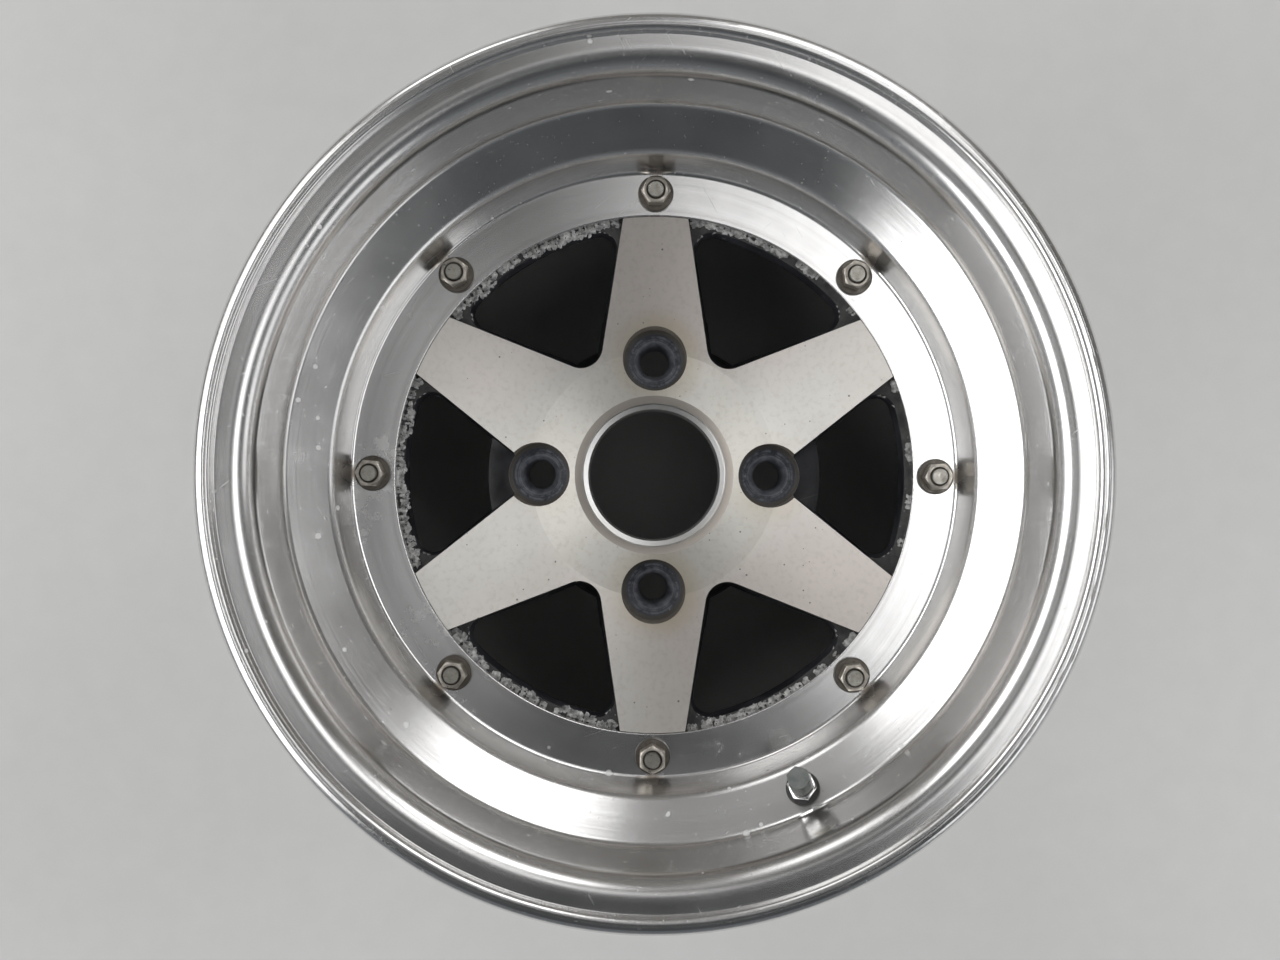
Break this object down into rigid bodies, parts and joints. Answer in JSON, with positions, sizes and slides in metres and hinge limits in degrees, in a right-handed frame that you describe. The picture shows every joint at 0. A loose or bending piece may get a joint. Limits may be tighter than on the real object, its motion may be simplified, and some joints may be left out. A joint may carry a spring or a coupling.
{
  "type": "split rim wheel",
  "caption": "Split rim car wheel with a deep polished lip, a cast six-spoke centre disc clamped between two rim halves by bolts, and a tyre valve.",
  "frame": {"origin": "centre of the face that seats on the hub", "axes": "+Z along the wheel's axis out of the street side, +X through a lug hole with the valve at 64.3 degrees clockwise of it"},
  "size_m": [0.39, 0.39, 0.2008],
  "materials": {
    "polished_rim": "polished with fine circular lines, pits and scratches",
    "barrel": "spun, dull and stained",
    "disc": "cast, turned face, black paint in the windows and lug pockets",
    "sealant": "cured sealant, matt",
    "bolt_steel": "zinc plated, dulled",
    "nut_steel": "zinc plated, oxidised",
    "washer_steel": "blackened and stained with rust",
    "valve_brass": "nickel plated, worn",
    "valve_rubber": "aged",
    "valve_chrome": "bright plated",
    "cap_plastic": "dull grey, scuffed"
  },
  "bodies": {
    "root": {"outer_rim_half": "polished_rim", "inner_rim_half": "barrel", "centre_disc": "disc", "rim_sealant": "sealant", "assembly_bolts": "bolt_steel", "assembly_nuts": "nut_steel", "nut_washers": "washer_steel", "head_washers": "washer_steel", "valve_stem": "valve_brass", "valve_core": "valve_brass", "valve_grommet": "valve_rubber", "valve_washer": "valve_rubber", "valve_nut": "valve_chrome", "valve_cap": "cap_plastic"}
  },
  "joints": []
}
